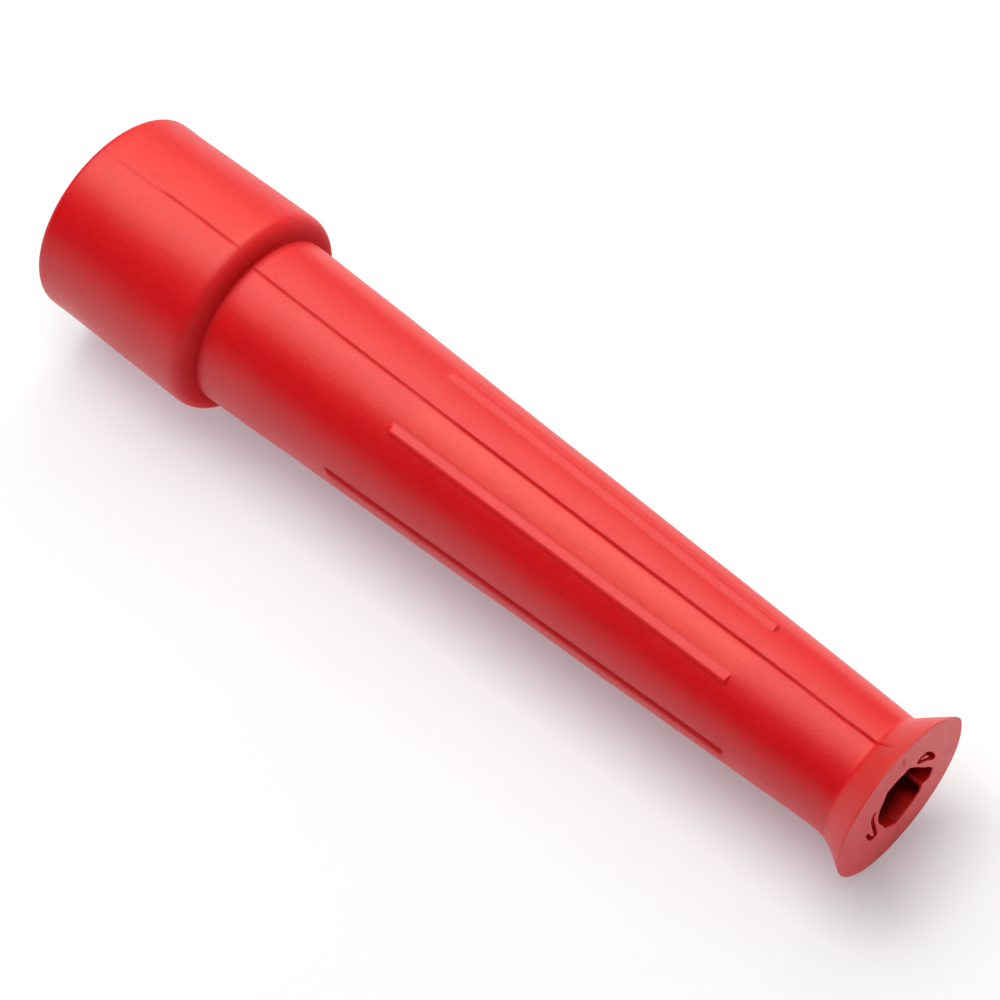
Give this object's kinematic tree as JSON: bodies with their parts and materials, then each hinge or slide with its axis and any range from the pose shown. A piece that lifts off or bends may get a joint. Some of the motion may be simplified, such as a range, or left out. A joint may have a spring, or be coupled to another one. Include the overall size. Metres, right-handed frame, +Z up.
{
  "type": "post driver",
  "caption": "Hand-held post driver: a struck head, a tapered ribbed grip sleeve with a flared hand stop, and a deep blind socket for a slim round post.",
  "frame": {"origin": "middle of the whole length, on the surface the tool lies on: below the axis by the head collar's largest radius", "axes": "+X along the tool's axis from the struck head to the open mouth, +Z up through the mould's parting line, so the tool lies on its side"},
  "size_m": [0.2302, 0.051, 0.051],
  "materials": {
    "sleeve_rubber": "red moulded rubber, satin, with a fine parting line and light scuffs",
    "tube_steel": "plain drawn steel pipe, dull grey, lightly oiled",
    "anvil_steel": "turned steel, face burnished and lightly dented by hammer blows",
    "pin_steel": "hardened spring steel, dark"
  },
  "bodies": {
    "root": {"grip_sleeve": "sleeve_rubber", "drive_tube": "tube_steel", "strike_anvil": "anvil_steel", "anvil_pin": "pin_steel"}
  },
  "joints": []
}
